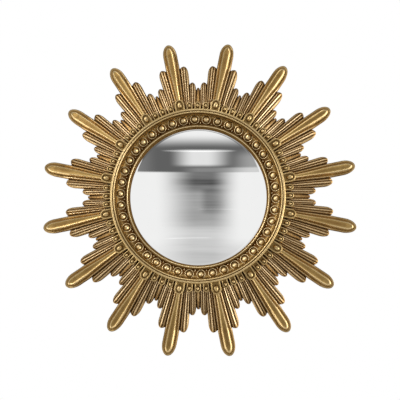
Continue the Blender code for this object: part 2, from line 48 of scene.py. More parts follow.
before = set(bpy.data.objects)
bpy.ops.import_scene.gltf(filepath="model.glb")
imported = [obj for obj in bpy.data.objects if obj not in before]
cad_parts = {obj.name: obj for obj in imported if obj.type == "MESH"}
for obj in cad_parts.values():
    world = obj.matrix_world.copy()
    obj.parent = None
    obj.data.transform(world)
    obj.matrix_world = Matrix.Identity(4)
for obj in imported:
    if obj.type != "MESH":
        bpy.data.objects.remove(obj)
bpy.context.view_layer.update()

MM = 0.001
REACH = 250.0
GROUPS = 16
HALF_GROUP = 11.25
EDGE_DEPTH = 7.0
RING_SEGMENTS = 512
DISC_SEGMENTS = 192

# Ring moulding and what it holds
SEAM_RADIUS = 0.585 * REACH
SEAM_DEPTH = 12.0
SINK = 0.1
CUP_WALL = 0.5315 * REACH
CUP_FOOT = 0.527 * REACH
CUP_STEP = 6.05
OUTER_FILLET = 0.5222 * REACH
INNER_FILLET = 0.5098 * REACH
BEAD_ROW = 0.478 * REACH
CHANNEL_SLOPE = 4.0 / (0.0485 * REACH)
FIRST_BEAD = 6.3
BEAD_SEGMENTS = 28
LIP_CREST = 0.437 * REACH
SIGHT_EDGE = 0.4270 * REACH
LIP_BACK = 20.3
REBATE_RADIUS = 0.4445 * REACH
BOARD_RADIUS = 0.4670 * REACH
BOARD_BED = 3.3
BOARD_THICKNESS = 3.0
BOARD_GAP = 0.3
EASED_CORNER = 0.3
GLASS_RADIUS = 110.29
GLASS_RISE = 14.0
GLASS_THICKNESS = 2.5
GLASS_SEAT_RADIUS = 0.4255 * REACH
GLASS_SEAT_DEPTH = 20.15

# Hanger: corners of (X, depth, Z)
PLATE_BED = ((-23.3, -5.0, 122.2), (23.3, 1.8, 142.8))
KEYHOLE_POCKET = ((-11.0, -5.0, 125.0), (11.0, 9.0, 140.0))
SCREW_X = 18.0
SCREW_Z = 132.5
SCREW_SEGMENTS = 48


class MirrorSizes(PropertyGroup):
    """Sizes of the finer relief."""

    arris_height: FloatProperty(
        name="Arris height", description="How far the long ray's two edge lines stand up",
        default=0.0005, min=0.0, max=0.002, unit='LENGTH', precision=5)
    nose_length: FloatProperty(
        name="Nose length", description="Length over which a ray's end rounds down",
        default=0.0048, min=0.001, max=0.01, unit='LENGTH', precision=5)
    bead_radius: FloatProperty(
        name="Bead radius", description="Radius of a channel bead's dome",
        default=0.0046, min=0.003, max=0.006, unit='LENGTH', precision=5)
    collar_radius: FloatProperty(
        name="Collar radius", description="Radius of the thin ring around a bead, at its crest",
        default=0.00635, min=0.005, max=0.0075, unit='LENGTH', precision=5)
    bead_count: IntProperty(
        name="Beads", description="Number of beads in the channel", default=42, min=12, max=60)


class MirrorFinish(PropertyGroup):
    """Colours of the finishes."""

    crest_gold: FloatVectorProperty(
        name="Crest gold", description="Worn gold on the raised edges",
        default=(0.645, 0.498, 0.278), subtype='COLOR', min=0.0, max=1.0)
    field_gold: FloatVectorProperty(
        name="Field gold", description="Gold of the open surfaces",
        default=(0.335, 0.222, 0.078), subtype='COLOR', min=0.0, max=1.0)
    recess_brown: FloatVectorProperty(
        name="Recess brown", description="Patina in the grooves",
        default=(0.085, 0.030, 0.0045), subtype='COLOR', min=0.0, max=1.0)
    reed_crest: FloatVectorProperty(
        name="Reed crest", description="Paler worn gold on the reeds",
        default=(0.58, 0.445, 0.275), subtype='COLOR', min=0.0, max=1.0)
    reed_field: FloatVectorProperty(
        name="Reed field", description="Paler gold between the reeds",
        default=(0.305, 0.205, 0.098), subtype='COLOR', min=0.0, max=1.0)
    back_brown: FloatVectorProperty(
        name="Back paint", description="Plain paint on the casting's back",
        default=(0.11, 0.07, 0.035), subtype='COLOR', min=0.0, max=1.0)
    board_brown: FloatVectorProperty(
        name="Board", description="Pressed fibreboard",
        default=(0.17, 0.105, 0.06), subtype='COLOR', min=0.0, max=1.0)


class MirrorStage(PropertyGroup):
    """Camera and light."""

    lens: FloatProperty(name="Lens", description="Focal length in millimetres", default=51.15)
    distance: FloatProperty(
        name="Distance", description="From the camera to the point it looks at",
        default=0.9, unit='LENGTH')
    azimuth: FloatProperty(
        name="Azimuth", description="Camera angle round the mirror",
        default=math.radians(2.1), unit='ROTATION')
    elevation: FloatProperty(
        name="Elevation", description="Camera angle above the horizon",
        default=math.radians(-4.5), unit='ROTATION')
    roll: FloatProperty(
        name="Roll", description="Camera turn about its own view line",
        default=math.radians(-0.07), unit='ROTATION')
    floor_height: FloatProperty(
        name="Floor height", description="Height of the studio floor",
        default=-1.0, unit='LENGTH')


# Mesh helpers

def place(angle, radius, depth):
    """Points in metres: X = r sin a, Y = -depth, Z = r cos a."""
    turn = np.radians(angle)
    x, y, z = np.broadcast_arrays(radius * np.sin(turn), -depth, radius * np.cos(turn))
    return np.stack([x, y, z], axis=-1) * MM


def grid_faces(index):
    """Four-cornered faces between the rows and columns of an index grid."""
    corners = [index[:-1, :-1], index[1:, :-1], index[1:, 1:], index[:-1, 1:]]
    return np.stack(corners, axis=-1).reshape(-1, 4)


def wrapped(index):
    """The same grid with its first column repeated at the end, which closes it into a tube."""
    return np.concatenate([index, index[:, :1]], axis=1)


def closed_index(rows, columns):
    """Point numbers of a grid whose last column joins its first."""
    return wrapped(np.arange(rows * columns).reshape(rows, columns))


def repeated(faces, count, stride):
    """Faces of one shape, repeated for count copies whose points follow each other."""
    faces = np.atleast_2d(faces)
    shift = (np.arange(count) * stride)[:, None, None]
    return (faces[None] + shift).reshape(-1, faces.shape[1])


def ease(start, end, share):
    """Blend two values."""
    return start + (end - start) * share


def smooth(low, high, value):
    """Smoothstep of a value between two limits."""
    share = np.clip((value - low) / (high - low), 0.0, 1.0)
    return share * share * (3.0 - 2.0 * share)


def add_mesh(name, points, faces, wear=None, shade=0.0, merge=0.000004):
    """A mesh object from points and blocks of faces, with doubles merged and faces turned outward.

    A cast piece also gets its wear and painted light and its share of paler reed gold as attributes.
    """
    blocks = [np.atleast_2d(block) for block in faces]
    counts = np.concatenate([np.full(len(block), block.shape[1]) for block in blocks])
    corners = np.concatenate([block.ravel() for block in blocks])
    mesh = bpy.data.meshes.new(name)
    mesh.vertices.add(len(points))
    mesh.vertices.foreach_set("co", np.asarray(points, dtype=np.float32).ravel())
    mesh.loops.add(len(corners))
    mesh.loops.foreach_set("vertex_index", corners.astype(np.int32))
    mesh.polygons.add(len(counts))
    starts = np.concatenate([[0], np.cumsum(counts)[:-1]])
    mesh.polygons.foreach_set("loop_start", starts.astype(np.int32))
    mesh.update(calc_edges=True)
    if wear is not None:
        for label, values in (("wear", wear), ("shade", shade)):
            layer = mesh.attributes.new(label, 'FLOAT', 'POINT')
            layer.data.foreach_set("value", np.broadcast_to(values, len(points)).astype(np.float32))
    bm = bmesh.new()
    bm.from_mesh(mesh)
    bmesh.ops.remove_doubles(bm, verts=bm.verts[:], dist=merge)
    bmesh.ops.recalc_face_normals(bm, faces=bm.faces[:])
    bm.to_mesh(mesh)
    bm.free()
    item = bpy.data.objects.new(name, mesh)
    bpy.context.scene.collection.objects.link(item)
    return item


def finish_piece(item, material, nodes, sharp):
    """Shade a piece smooth with creases past an angle, hang it on the root and hide the CAD nodes it
    replaces.
    """
    item.data.materials.clear()
    item.data.materials.append(material)
    item.data.shade_smooth()
    item.data.set_sharp_from_angle(angle=math.radians(sharp))
    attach(item, "root")
    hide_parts(*nodes)


def turned_points(profile, segments):
    """Points of a profile of (radius, depth) turned about the Y axis, a row for each profile point."""
    profile = np.asarray(profile, dtype=float)
    angle = np.arange(segments) * 360.0 / segments
    return place(angle[None, :], profile[:, :1], profile[:, 1:2])


def add_disc(name, profile):
    """A disc from its half profile, turned about the Y axis."""
    points = turned_points(profile, DISC_SEGMENTS)
    return add_mesh(name, points.reshape(-1, 3), [grid_faces(closed_index(*points.shape[:2]))])


def set_round(angles, across, out, depth, wear, faces):
    """One shape at several angles, from its distances across, along the radius and forward."""
    angle = angles[:, None] + np.degrees(np.arctan2(across, out)).ravel()[None, :]
    points = place(angle, np.hypot(across, out).ravel()[None, :], depth.ravel()[None, :])
    faces = [repeated(block, len(angles), across.size) for block in faces]
    return points.reshape(-1, 3), faces, np.tile(wear.ravel(), len(angles))


def joined(parts):
    """Several sets of points, faces and wear with painted light as one."""
    points, faces, wear = [], [], []
    start = 0
    for part_points, part_faces, part_wear in parts:
        points.append(part_points)
        faces += [block + start for block in part_faces]
        wear.append(part_wear)
        start += len(part_points)
    return np.concatenate(points), faces, np.concatenate(wear)


# Rays

Feature = namedtuple("Feature", "foot end foot_depth end_depth wear steps shape")
Arch = namedtuple("Arch", "angle inner outer shoulder tip")
Block = namedtuple("Block", "angle radius depth wear shade")

FIRST_KNOTS = np.array([0.526, 0.540, 0.553, 0.566, 0.578, 0.590, 0.602, 0.614, 0.626, 0.638,
                        0.649, 0.659, 0.667, 0.6735, 0.6785, 0.682, 0.684]) * REACH
SECOND_KNOTS = np.array([0.692, 0.700, 0.708, 0.715, 0.7203, 0.7238, 0.7255]) * REACH
THIRD_KNOTS = np.array([0.737, 0.749, 0.761, 0.773, 0.784, 0.794, 0.803, 0.811, 0.8175,
                        0.8232, 0.8277, 0.8308, 0.8326, 0.8332]) * REACH
FOURTH_KNOTS = np.array([0.841, 0.850, 0.859, 0.868, 0.877, 0.886, 0.895, 0.905, 0.9145,
                         0.924]) * REACH
CAP_TURNS = np.radians(np.arange(10.0, 91.0, 10.0))
LONG_HALF_WIDTH = 0.0445 * REACH
LONG_CAP = 0.924 * REACH
LONG_TIP = REACH - 0.15
ARRIS_SOFTNESS = 0.60
ARRIS_DEPTHS = (29.0, 17.0)
MEAN_GAP = 3.0
JOIN_ANGLE = math.degrees(math.atan2(0.0445, 0.832))
MIDDLE_ARCH = Arch(4.9, 2.8, 1.85, 0.789 * REACH, 0.844 * REACH)
SHORT_ARCH = Arch(8.3, 1.9, 1.65, 0.70 * REACH, 0.735 * REACH)
REED_FOOT = 0.58 * REACH


def rise(share):
    """From a groove up to a rounded crest: sin of a quarter turn."""
    return np.sin(0.5 * np.pi * share)


def fall(share):
    """From a rounded crest down to a groove: 1 - cos of a quarter turn."""
    return 1.0 - np.cos(0.5 * np.pi * share)


def even(share):
    """A straight slope."""
    return share


def spread(features, field, straight=False):
    """One field of the features at every column between them, by each interval's shape or straight."""
    values = [getattr(item, field) for item in features]
    columns = [np.array(values[:1])]
    for first, second, item in zip(values, values[1:], features[1:]):
        share = np.arange(1, item.steps + 1) / item.steps
        columns.append(ease(first, second, share if straight else item.shape(share)))
    return np.concatenate(columns)


def ray_gap(radius):
    """Angle of the groove between the long ray and the middle one."""
    return np.interp(radius / REACH, [0.526, 0.64, 0.72, 0.80, 0.8332],
                     [2.86, 2.90, 3.06, 3.17, JOIN_ANGLE])


def ray_gap_depth(radius):
    """Depth of the same groove."""
    return np.interp(radius / REACH, [0.526, 0.60, 0.832], [20.0, 20.0, 8.5])


def long_block(sizes):
    """Long ray: distance across = share x half width, with the rounded end on concentric arches.

    Its half cross-section runs over a hollow crown, an arris, a flank, a groove and a thin rim.
    Each of these lines has its own distance from the axis, which grows from the cups to the tip.
    In the rounded end, across = share x half width x cos(turn), and each line goes forward by its
    own part of sin(turn).
    """
    radius = np.concatenate([FIRST_KNOTS, SECOND_KNOTS, THIRD_KNOTS])
    bound = ray_gap(radius)
    along = np.concatenate([radius * np.cos(np.radians(bound)), FOURTH_KNOTS])
    along = np.concatenate([along, np.full(len(CAP_TURNS), LONG_CAP)])
    half = radius * np.sin(np.radians(bound))
    half = np.concatenate([half, np.full(len(along) - len(half), LONG_HALF_WIDTH)])
    cap = np.concatenate([np.zeros(len(along) - len(CAP_TURNS)), CAP_TURNS])
    reach = along / REACH

    # Lines of the cross-section, as shares of the half width
    crown = np.interp(reach, [0.526, 0.61, 0.655, 0.70, 0.72, 0.76, 0.79, 0.81, 0.84, 0.87, 0.924],
                      [1.60, 1.95, 2.35, 2.60, 2.85, 3.40, 3.75, 4.00, 4.20, 4.22, 4.30]) / half
    groove = np.interp(reach, [0.526, 0.61, 0.64, 0.70, 0.76, 0.81, 0.86, 0.924],
                       [3.30, 3.83, 4.02, 4.95, 5.95, 6.68, 7.30, 7.55]) / half
    rim = np.interp(reach, [0.526, 0.61, 0.64, 0.68, 0.72, 0.76, 0.80, 0.84, 0.87, 0.924],
                    [4.90, 5.51, 6.03, 6.68, 7.35, 8.06, 8.85, 9.70, 10.05, 10.30]) / half
    soft = ARRIS_SOFTNESS / half
    lines = [0.0 * crown, crown - 2.0 * soft, crown - soft, crown, crown + soft, groove, rim,
             1.0 + 0.0 * crown]

    # Depths of the same lines
    down = np.clip((reach - 0.60) / 0.317, 0.0, 1.0)
    arris_depth = ease(*ARRIS_DEPTHS, down) - 2.0 * np.sin(cap)
    stations = [0.60, 0.70, 0.80, 0.867, 0.924]
    flank_foot = np.interp(reach, stations, [22.8, 17.9, 12.8, 9.3, 8.6]) - 0.5 * np.sin(cap)
    rim_depth = np.interp(reach, stations, [24.4, 19.4, 14.1, 10.4, 9.5]) - 0.5 * np.sin(cap)
    edge_depth = np.where(reach > 0.8325, np.interp(reach, [0.8325, 0.867], [8.5, EDGE_DEPTH]),
                          ray_gap_depth(along / np.cos(np.radians(MEAN_GAP))))
    lift = sizes.arris_height / MM
    depths = [arris_depth - 1.6 * lift + 2.0 * np.sin(cap),
              arris_depth - 1.25 * lift + 0.5 * np.sin(cap), arris_depth - 0.45 * lift,
              arris_depth, arris_depth - 0.7, flank_foot, rim_depth, edge_depth]
    # Level of each line: arris and rim bright from wear and in part painted highlight, the edge dark
    line_wear_and_light = [0.21, 0.29, 0.54, 0.84, 0.80, 0.48, 0.86, 0.04]
    steps = [4, 1, 1, 1, 4, 3, 3]
    shapes = [even, even, even, even, even, rise, fall]

    share = [lines[0]]
    depth = [depths[0]]
    wear = [np.full(len(along), line_wear_and_light[0])]
    for k, count in enumerate(steps):
        for step in range(1, count + 1):
            part = step / count
            share.append(ease(lines[k], lines[k + 1], part))
            depth.append(ease(depths[k], depths[k + 1], float(shapes[k](part))))
            wear.append(np.full(len(along), ease(line_wear_and_light[k], line_wear_and_light[k + 1], part)))
    share = np.stack(share, axis=1)
    depth = np.stack(depth, axis=1)
    wear = np.stack(wear, axis=1)

    # The crown is brighter at its foot. Past the groove the flank and rim darken towards the tip:
    # painted shade at the ray's end
    bright_foot = 0.11 * (1.0 - smooth(0.62, 0.84, reach))[:, None]
    wear = wear + bright_foot * (share < 0.9 * crown[:, None])
    to_rim = (share - groove[:, None]) / (rim - groove)[:, None]
    wear = wear - 0.36 * smooth(0.82, 0.88, reach)[:, None] * smooth(0.5, 0.9, to_rim)
    shade = 0.55 * smooth(0.3, 1.0, to_rim)

    # Each line's own forward reach in the rounded end: the crown's arch is the most pointed one
    across = share * half[:, None] * np.cos(cap)[:, None]
    forward_share = np.interp(share, [0.0, crown[-1], groove[-1], rim[-1], 1.0],
                              [0.0, 0.57, 0.82, 0.965, 1.0])
    forward = along[:, None] + forward_share * (LONG_TIP - LONG_CAP) * np.sin(cap)[:, None]
    return Block(np.degrees(np.arctan2(across, forward)), np.hypot(across, forward), depth, wear,
                 shade)


def nosed(depth, to_end, nose):
    """Depth rounded down to the edge by a quarter ellipse over the nose length before a ray's end."""
    near = np.clip(to_end / nose, 0.0, 1.0)
    return EDGE_DEPTH + (depth - EDGE_DEPTH) * np.sqrt(1.0 - (1.0 - near) ** 2)


def reeded_block(features, knots, arch, nose, last_shared, shade):
    """A reeded ray with an arched end, as a height over angle and radius.

    A column's angle moves from its foot to the arch, where radius = shoulder + (tip - shoulder)
    cos(bend). The height is the straight line of its reed from foot to end, times a quarter
    ellipse over the nose length.
    """
    bend = spread(features, "end", straight=True)
    half = np.where(bend < 0.0, arch.inner, arch.outer)
    top_angle = arch.angle + half * np.sin(np.radians(bend))
    top_radius = ease(arch.shoulder, arch.tip, np.cos(np.radians(bend)))
    top_radius[0] = knots[-1]
    foot_angle = spread(features, "foot", straight=True)

    radius = np.repeat(knots[:, None], len(bend), axis=1)
    scale = (top_radius - last_shared) / (knots[-1] - last_shared)
    free = knots > last_shared + 1e-6
    radius[free] = last_shared + (knots[free, None] - last_shared) * scale[None, :]

    along = np.clip((radius - REED_FOOT) / (top_radius[None, :] - REED_FOOT), 0.0, 1.0)
    angle = ease(foot_angle[None, :], top_angle[None, :], along)
    foot_depth = spread(features, "foot_depth")
    end_depth = spread(features, "end_depth")
    depth = ease(foot_depth[None, :], end_depth[None, :], along)
    depth = nosed(depth, top_radius[None, :] - radius, nose)
    # Lighter at the foot and darker towards the end, and down to half as bright in the last few
    # millimetres: painted shade at the ray's end
    wear = spread(features, "wear")[None, :] * ease(1.10, 0.88, along)
    wear = wear * (1.0 - 0.50 * smooth(8.5, 2.5, top_radius[None, :] - radius))
    return Block(angle, radius, depth, wear, np.full_like(wear, shade))


def middle_edge(radius):
    """Angle and depth of the groove between the middle and the short ray, and of the edge past it."""
    reach = radius / REACH
    angle = np.interp(reach, [0.58, 0.61, 0.64, 0.67, 0.70, 0.7255, 0.8332],
                      [6.42, 6.48, 6.57, 6.67, 6.77, 6.80, 6.75])
    return angle, np.interp(reach, [0.60, 0.7255, 0.8332], [19.0, 8.5, EDGE_DEPTH])


def short_edge(radius):
    """Angle and depth of the groove between the short and the narrow ray, and of the edge past it."""
    reach = radius / REACH
    angle = np.interp(reach, [0.58, 0.61, 0.64, 0.67, 0.684, 0.7255],
                      [10.02, 10.08, 10.17, 10.26, 10.30, 9.95])
    return angle, np.interp(reach, [0.60, 0.684, 0.7255], [18.0, 8.5, EDGE_DEPTH])


def middle_block(sizes):
    """Middle ray: a thin reed, the broad reed and a thin outer reed under one arch."""
    features = [
        Feature(2.90, -41.1, 20.0, 8.5, 0.20, 1, even),
        Feature(3.46, -20.5, 22.8, 11.6, 0.88, 4, rise),
        Feature(3.95, -11.1, 21.4, 10.2, 0.26, 3, fall),
        Feature(4.64, 2.2, 25.0, 13.5, 0.92, 5, rise),
        Feature(5.27, 26.3, 21.3, 10.2, 0.06, 4, fall),
        Feature(5.80, 48.2, 23.0, 11.2, 0.74, 3, rise),
        Feature(6.42, 90.0, 19.0, EDGE_DEPTH, 0.12, 4, fall),
    ]
    knots = np.concatenate([FIRST_KNOTS, SECOND_KNOTS, THIRD_KNOTS])
    block = reeded_block(features, knots, MIDDLE_ARCH, sizes.nose_length / MM, SECOND_KNOTS[-1], 0.7)
    return pinned(block, ray_gap(knots), ray_gap_depth(knots), *middle_edge(knots))


def short_block(sizes):
    """Short ray: three reeds under one arch, the middle one the brightest."""
    features = [
        Feature(6.42, -52.1, 19.0, 8.5, 0.26, 1, even),
        Feature(6.98, -29.0, 21.6, 11.5, 0.66, 4, rise),
        Feature(7.48, -16.0, 20.6, 10.8, 0.08, 3, fall),
        Feature(7.98, 7.0, 22.6, 12.5, 0.82, 4, rise),
        Feature(8.66, 25.1, 20.4, 10.6, 0.06, 4, fall),
        Feature(9.33, 46.7, 22.4, 11.6, 0.70, 4, rise),
        Feature(10.02, 90.0, 18.0, EDGE_DEPTH, 0.14, 4, fall),
    ]
    knots = np.concatenate([FIRST_KNOTS, SECOND_KNOTS])
    block = reeded_block(features, knots, SHORT_ARCH, 0.85 * sizes.nose_length / MM, FIRST_KNOTS[-1],
                         0.85)
    return pinned(block, *middle_edge(knots), *short_edge(knots))


def narrow_block(sizes):
    """Half of the narrow ray: a wedge that rises to a keel on its axis and has a bevelled end."""
    share = np.array([0.0, 0.1, 0.22, 0.36, 0.52, 0.68, 0.82, 0.92, 1.0])
    knots = FIRST_KNOTS
    left, left_depth = short_edge(knots)
    keel_depth = np.interp(knots / REACH, [0.58, 0.684], [23.0, 13.6])
    angle = left[:, None] + (HALF_GROUP - left[:, None]) * share[None, :]
    corner = (10.6 - 10.3) / (HALF_GROUP - 10.3)
    top = np.where(share < corner, ease(0.684, 0.696, share / corner),
                   ease(0.696, 0.698, (share - corner) / (1.0 - corner))) * REACH
    length = (top[None, :] - knots[0]) / (knots[-1] - knots[0])
    radius = knots[0] + (knots[:, None] - knots[0]) * length
    to_end = top[None, :] - radius
    height = np.where(share < 0.22, 0.30 * rise(share / 0.22), ease(0.30, 1.0, (share - 0.22) / 0.78))
    depth = left_depth[:, None] + (keel_depth - left_depth)[:, None] * height[None, :]
    depth = nosed(depth, to_end, 0.3 * sizes.nose_length / MM)
    depth[:, 0] = left_depth
    wear = np.where(share < 0.2, 0.20, ease(0.40, 1.0, share ** 1.2))[None, :]
    # Darker over the last few millimetres before the end: painted shade at the ray's end
    wear = wear * (1.06 - 0.30 * smooth(4.5, 0.5, to_end))
    return Block(angle, radius, depth, wear, np.full_like(wear, 0.35))


def pinned(block, left, left_depth, right, right_depth):
    """Move a block's outer columns to the lines that it shares with its neighbours.

    The columns inside follow each side by the cube of how near they are to it.
    """
    angle, depth = block.angle.copy(), block.depth.copy()
    share = np.linspace(0.0, 1.0, angle.shape[1])
    angle += (left - angle[:, 0])[:, None] * (1.0 - share) ** 3
    angle += (right - block.angle[:, -1])[:, None] * share ** 3
    depth[:, 0] = left_depth
    depth[:, -1] = np.where(np.arange(len(depth)) < len(depth) - 1, right_depth, EDGE_DEPTH)
    return block._replace(angle=angle, depth=depth)


def build_rays(sizes, material):
    """All rays as one closed skin: the height field, side walls, a flat back and an inner wall."""
    blocks = [long_block(sizes), middle_block(sizes), short_block(sizes), narrow_block(sizes)]
    index = []
    start = 0
    for block in blocks:
        index.append(start + np.arange(block.angle.size).reshape(block.angle.shape))
        start += block.angle.size
    long_index, middle_index, short_index, narrow_index = index
    angle, radius, depth, wear, shade = (np.concatenate([grid.ravel() for grid in grids])
                                         for grids in zip(*blocks))

    join_row = len(FIRST_KNOTS) + len(SECOND_KNOTS) + len(THIRD_KNOTS) - 1
    short_row = len(FIRST_KNOTS) + len(SECOND_KNOTS) - 1
    narrow_row = len(FIRST_KNOTS) - 1
    outline = np.concatenate([
        long_index[join_row + 1:, -1][::-1],
        middle_index[-1, :],
        middle_index[short_row + 1:-1, -1][::-1],
        short_index[-1, :],
        short_index[narrow_row + 1:-1, -1][::-1],
        narrow_index[-1, :],
    ])

    # The outline's copy on the back, and the seam with the ring: its back, its front, the rays' foot
    inner_turns = np.linspace(0.0, HALF_GROUP, RING_SEGMENTS // (2 * GROUPS) + 1)
    level = np.ones(len(inner_turns))
    below = start + np.arange(len(outline))
    seam_back = below[-1] + 1 + np.arange(len(inner_turns))
    seam_front = seam_back + len(inner_turns)
    inner = seam_front + len(inner_turns)
    angle = np.concatenate([angle, angle[outline], inner_turns, inner_turns, inner_turns])
    radius = np.concatenate([radius, radius[outline], SEAM_RADIUS * level, SEAM_RADIUS * level,
                             FIRST_KNOTS[0] * level])
    depth = np.concatenate([depth, 0.0 * below, 0.0 * level, SEAM_DEPTH * level, SEAM_DEPTH * level])
    added = len(angle) - len(wear)
    wear = np.concatenate([wear, np.full(added, 0.12)])
    shade = np.concatenate([shade, np.full(added, 0.6)])

    first_row = np.concatenate([long_index[0], middle_index[0, 1:], short_index[0, 1:],
                                narrow_index[0, 1:]])
    faces = [grid_faces(block) for block in index]
    faces.append(grid_faces(np.stack([outline, below])))
    faces.append(np.concatenate([below, seam_back[::-1]]))
    faces.append(grid_faces(np.stack([seam_back, seam_front])))
    faces.append(grid_faces(np.stack([seam_front, inner])))
    faces.append(np.concatenate([inner, first_row[::-1]]))

    turns = HALF_GROUP * (1 + 2 * np.arange(GROUPS))
    copies = np.concatenate([turns[:, None] + angle[None, :], turns[:, None] - angle[None, :]])
    points = place(copies, radius[None, :], depth[None, :]).reshape(-1, 3)
    count = len(copies)
    faces = [repeated(block, count, len(angle)) for block in faces]
    item = add_mesh("cast_rays", points, faces, np.tile(wear, count), np.tile(shade, count), 0.000006)
    finish_piece(item, material, ["frame"], 32.0)


# Ring moulding

def half_round(turns, radius, depth, width, height, wear, gain, power=2):
    """Points of a round bead in a profile, with the wear and painted light of each.

    Radius = the middle's + width x sin(turn), depth = the foot's + height x cos(turn), and
    wear and painted light = its least + gain x cos(turn) to a power.
    """
    bend = np.radians(turns)
    return list(zip(radius + width * np.sin(bend), depth + height * np.cos(bend),
                    wear + gain * np.cos(bend) ** power))


def ring_profile():
    """Closed profile of the ring with each point's wear and painted light, from its outer wall round to
    its back.

    It runs over the band's two fillets, down into the channel, over the lip and its fall to the
    sight edge, and back under the lip along the rebates of the glass and the board.
    """
    points = [
        (SEAM_RADIUS, 0.0, 0.12), (SEAM_RADIUS, SEAM_DEPTH - SINK, 0.12),
        (CUP_WALL - SINK, SEAM_DEPTH - SINK, 0.05), (CUP_WALL - SINK, 26.0, 0.16),
        (CUP_WALL - SINK, 38.0, 0.30), (CUP_WALL - 0.08, 41.6, 0.40),
    ]
    points += half_round(range(-75, 0, 15), OUTER_FILLET, 43.1, -2.2, 2.9, 0.38, 0.34)
    points += half_round(range(0, 76, 15), OUTER_FILLET, 43.1, -1.55, 2.9, 0.38, 0.34)
    points += [(0.5158 * REACH, 43.3, 0.26), (0.5150 * REACH, 43.2, 0.24)]
    points += half_round(range(-75, 76, 25), INNER_FILLET, 42.9, -1.3, 1.9, 0.42, 0.32)
    points += [
        (0.5040 * REACH, 42.2, 0.08), (0.5030 * REACH, 40.6, 0.0), (0.5026 * REACH, 39.4, 0.06),
        (0.5018 * REACH, 37.8, 0.34), (0.5008 * REACH, 35.4, 0.44), (0.4998 * REACH, 32.6, 0.44),
        (0.4982 * REACH, 29.9, 0.40), (0.4965 * REACH, 28.4, 0.34),
        (0.4930 * REACH, 27.7, 0.28), (0.4850 * REACH, 27.0, 0.16), (0.4780 * REACH, 26.4, 0.10),
        (0.4680 * REACH, 25.5, 0.08), (0.4570 * REACH, 24.6, 0.05), (0.4545 * REACH, 24.2, 0.0),
        (0.4523 * REACH, 24.3, 0.0), (0.4512 * REACH, 25.1, 0.07), (0.4480 * REACH, 26.2, 0.18),
        (0.4445 * REACH, 26.9, 0.27), (0.4418 * REACH, 27.0, 0.21),
    ]
    points += half_round(range(-70, 71, 20), LIP_CREST, 26.3, -1.1, 1.65, 0.56, 0.38)
    points += [
        (0.4320 * REACH, 26.2, 0.18), (0.4311 * REACH, 24.8, 0.08), (0.4297 * REACH, 22.9, 0.14),
        (0.4282 * REACH, 21.7, 0.20), (SIGHT_EDGE, 21.3, 0.20), (SIGHT_EDGE, LIP_BACK, 0.0),
        (REBATE_RADIUS, LIP_BACK, 0.05), (REBATE_RADIUS, BOARD_BED, 0.10),
        (BOARD_RADIUS, BOARD_BED, 0.10), (BOARD_RADIUS, 0.0, 0.10),
    ]
    return np.array(points)


def box_tool(name, low, high):
    """A box between two corners of (X, depth, Z) in millimetres, to cut with."""
    bm = bmesh.new()
    size = [(b - a) * MM for a, b in zip(low, high)]
    middle = [(a + b) * 0.5 * MM for a, b in zip(low, high)]
    turn = Matrix.Translation((middle[0], -middle[1], middle[2])) @ Matrix.Diagonal((*size, 1.0))
    bmesh.ops.create_cube(bm, size=1.0, matrix=turn)
    mesh = bpy.data.meshes.new(name)
    bm.to_mesh(mesh)
    bm.free()
    item = bpy.data.objects.new(name, mesh)
    bpy.context.scene.collection.objects.link(item)
    return item


def cut(item, tools):
    """Cut tools out of a piece and keep the result as its mesh."""
    for tool in tools:
        change = item.modifiers.new(tool.name, 'BOOLEAN')
        change.operation = 'DIFFERENCE'
        change.solver = 'EXACT'
        change.object = tool
    ready = item.evaluated_get(bpy.context.evaluated_depsgraph_get())
    mesh = bpy.data.meshes.new_from_object(ready)
    item.modifiers.clear()
    item.data = mesh
    for tool in tools:
        bpy.data.objects.remove(tool, do_unlink=True)


def build_ring(material):
    """The ring moulding, turned from its profile, with the plate's bed and pocket cut out behind."""
    profile = ring_profile()
    points = turned_points(profile[:, :2], RING_SEGMENTS)
    index = np.arange(points.shape[0] * RING_SEGMENTS).reshape(-1, RING_SEGMENTS)
    closed = wrapped(np.concatenate([index, index[:1]]))
    wear = np.repeat(profile[:, 2], RING_SEGMENTS)
    item = add_mesh("ring_moulding", points.reshape(-1, 3), [grid_faces(closed)], wear)
    cut(item, [box_tool("plate_bed", *PLATE_BED), box_tool("keyhole_pocket", *KEYHOLE_POCKET)])
    finish_piece(item, material, ["frame"], 34.0)


# Cups and beads

def cup_shape(half_width, top, rim_depth, hollow_depth, rim):
    """One horseshoe cup over (path, profile): its outline pushed inward by a distance, at a depth.

    The outline is two straight legs and a half circle. The profile runs up the outer wall, over a
    half-round rim, down into the hollow and to the axis. Returns (across, out, depth, wear and painted
    light) grids.
    """
    centre = top - half_width
    legs = np.linspace(CUP_FOOT, centre, 4)
    turns = np.radians(np.linspace(-90.0, 90.0, 17))
    across_way = np.concatenate([-np.ones(3), np.sin(turns), np.ones(3)])
    out_way = np.concatenate([np.zeros(3), np.cos(turns), np.zeros(3)])
    base = np.concatenate([legs[:-1], np.full(len(turns), centre), legs[::-1][1:]])
    profile = [(0.0, 16.0, 0.15), (0.0, rim_depth - 3.0, 0.34), (0.05, rim_depth - 1.4, 0.46)]
    profile += half_round(range(-65, 66, 26), rim, rim_depth - 1.1, rim, 1.1, 0.44, 0.22)
    profile += [(2.0 * rim + 0.1, rim_depth - 1.9, 0.40), (2.0 * rim + 0.3, hollow_depth + 0.5, 0.34),
                (2.0 * rim + 0.6, hollow_depth, 0.30), (half_width, hollow_depth, 0.30)]
    inward, depth, wear = (column[:, None] for column in np.array(profile).T)
    across = (half_width - inward) * across_way[None, :]
    out = base[None, :] + (half_width - inward) * out_way[None, :]
    return across, out, depth + 0.0 * across, wear + 0.0 * across


def add_cups(angles, shape):
    """Closed cups at several angles, with their ends and undersides shut."""
    index = np.arange(shape[0].size).reshape(shape[0].shape)
    faces = [grid_faces(index), index[0], np.concatenate([index[:, 0], index[:-1, -1][::-1]])]
    return set_round(angles, *shape, faces)


